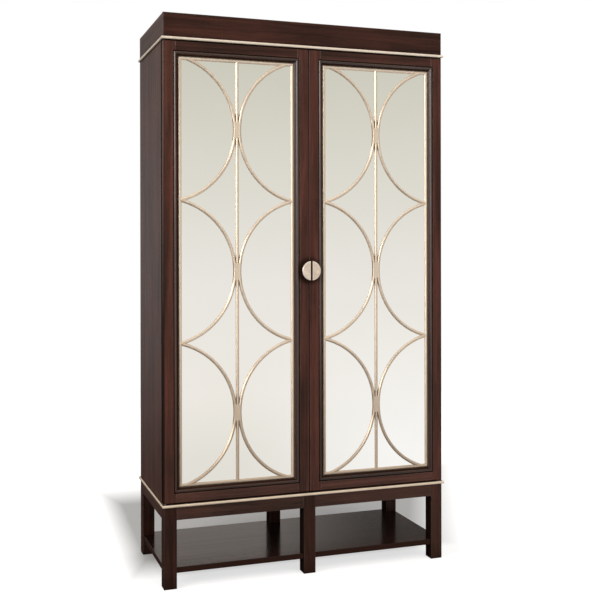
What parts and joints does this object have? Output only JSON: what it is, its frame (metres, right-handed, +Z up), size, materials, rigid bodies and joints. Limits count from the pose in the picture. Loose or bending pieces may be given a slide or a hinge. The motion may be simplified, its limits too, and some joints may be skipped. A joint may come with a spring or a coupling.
{
  "type": "armoire",
  "caption": "Tall clothes armoire: mirrored double doors with gilt arc fretwork and a split round pull, on an open legged stand with a low shelf and gilt beads.",
  "frame": {"origin": "floor level, at the middle of the footprint, from the face of the pulls to the back of the case", "axes": "+X to the right as seen from the front, +Y to the back, +Z up"},
  "size_m": [1.216, 0.545, 2.2425],
  "materials": {
    "door_wood": "dark mahogany stain, satin lacquer",
    "moulding_wood": "dark mahogany stain, satin lacquer",
    "case_wood": "dark mahogany veneer, satin lacquer",
    "cornice_wood": "dark mahogany stain, satin lacquer",
    "stand_wood": "dark mahogany stain, satin lacquer",
    "inner_wood": "stained veneer, matt lacquer",
    "backing_board": "stained plywood",
    "gilt_bead": "champagne gilding on turned wood",
    "gilt_fret": "champagne gilding, lightly rubbed",
    "antique_gold": "antiqued, lightly hammered",
    "mirror_glass": "silvered plate glass",
    "rod_steel": "polished",
    "hinge_steel": "brushed"
  },
  "bodies": {
    "case": {"back_panel": "backing_board", "case_bottom": "inner_wood", "case_pivot_plates": "hinge_steel", "case_pivot_screws": "hinge_steel", "case_top": "inner_wood", "cornice_back": "cornice_wood", "cornice_base": "case_wood", "cornice_blocks": "cornice_wood", "cornice_front": "cornice_wood", "cornice_left": "cornice_wood", "cornice_right": "cornice_wood", "cornice_top": "cornice_wood", "door_catches": "hinge_steel", "front_centre_leg": "stand_wood", "front_left_apron": "stand_wood", "front_left_leg": "stand_wood", "front_right_apron": "stand_wood", "front_right_leg": "stand_wood", "hanging_rod": "rod_steel", "hat_shelf": "inner_wood", "left_apron": "stand_wood", "left_side": "case_wood", "lower_bead": "gilt_bead", "pivot_pins": "hinge_steel", "rear_centre_leg": "stand_wood", "rear_left_apron": "stand_wood", "rear_left_leg": "stand_wood", "rear_right_apron": "stand_wood", "rear_right_leg": "stand_wood", "right_apron": "stand_wood", "right_side": "case_wood", "rod_sockets": "rod_steel", "shelf_pins": "hinge_steel", "stand_deck": "case_wood", "stand_shelf": "stand_wood", "upper_bead": "gilt_bead"},
    "left_door": {"left_door_back": "backing_board", "left_door_bottom_rail": "door_wood", "left_door_fretwork": "gilt_fret", "left_door_hinge_stile": "door_wood", "left_door_meeting_stile": "door_wood", "left_door_mirror": "mirror_glass", "left_door_moulding": "moulding_wood", "left_door_pivot_plates": "hinge_steel", "left_door_screws": "hinge_steel", "left_door_top_rail": "door_wood", "left_pull": "antique_gold", "left_strike_plate": "hinge_steel"},
    "right_door": {"right_door_back": "backing_board", "right_door_bottom_rail": "door_wood", "right_door_fretwork": "gilt_fret", "right_door_hinge_stile": "door_wood", "right_door_meeting_stile": "door_wood", "right_door_mirror": "mirror_glass", "right_door_moulding": "moulding_wood", "right_door_pivot_plates": "hinge_steel", "right_door_screws": "hinge_steel", "right_door_top_rail": "door_wood", "right_pull": "antique_gold", "right_strike_plate": "hinge_steel"}
  },
  "joints": [
    {"name": "left_door_hinge", "type": "hinge", "parent": "case", "child": "left_door", "pos_m": [-0.592, -0.2295, 1.23375], "axis": [0, 0, -1], "range_deg": [0, 120]},
    {"name": "right_door_hinge", "type": "hinge", "parent": "case", "child": "right_door", "pos_m": [0.592, -0.2295, 1.23375], "axis": [0, 0, 1], "range_deg": [0, 120]}
  ]
}
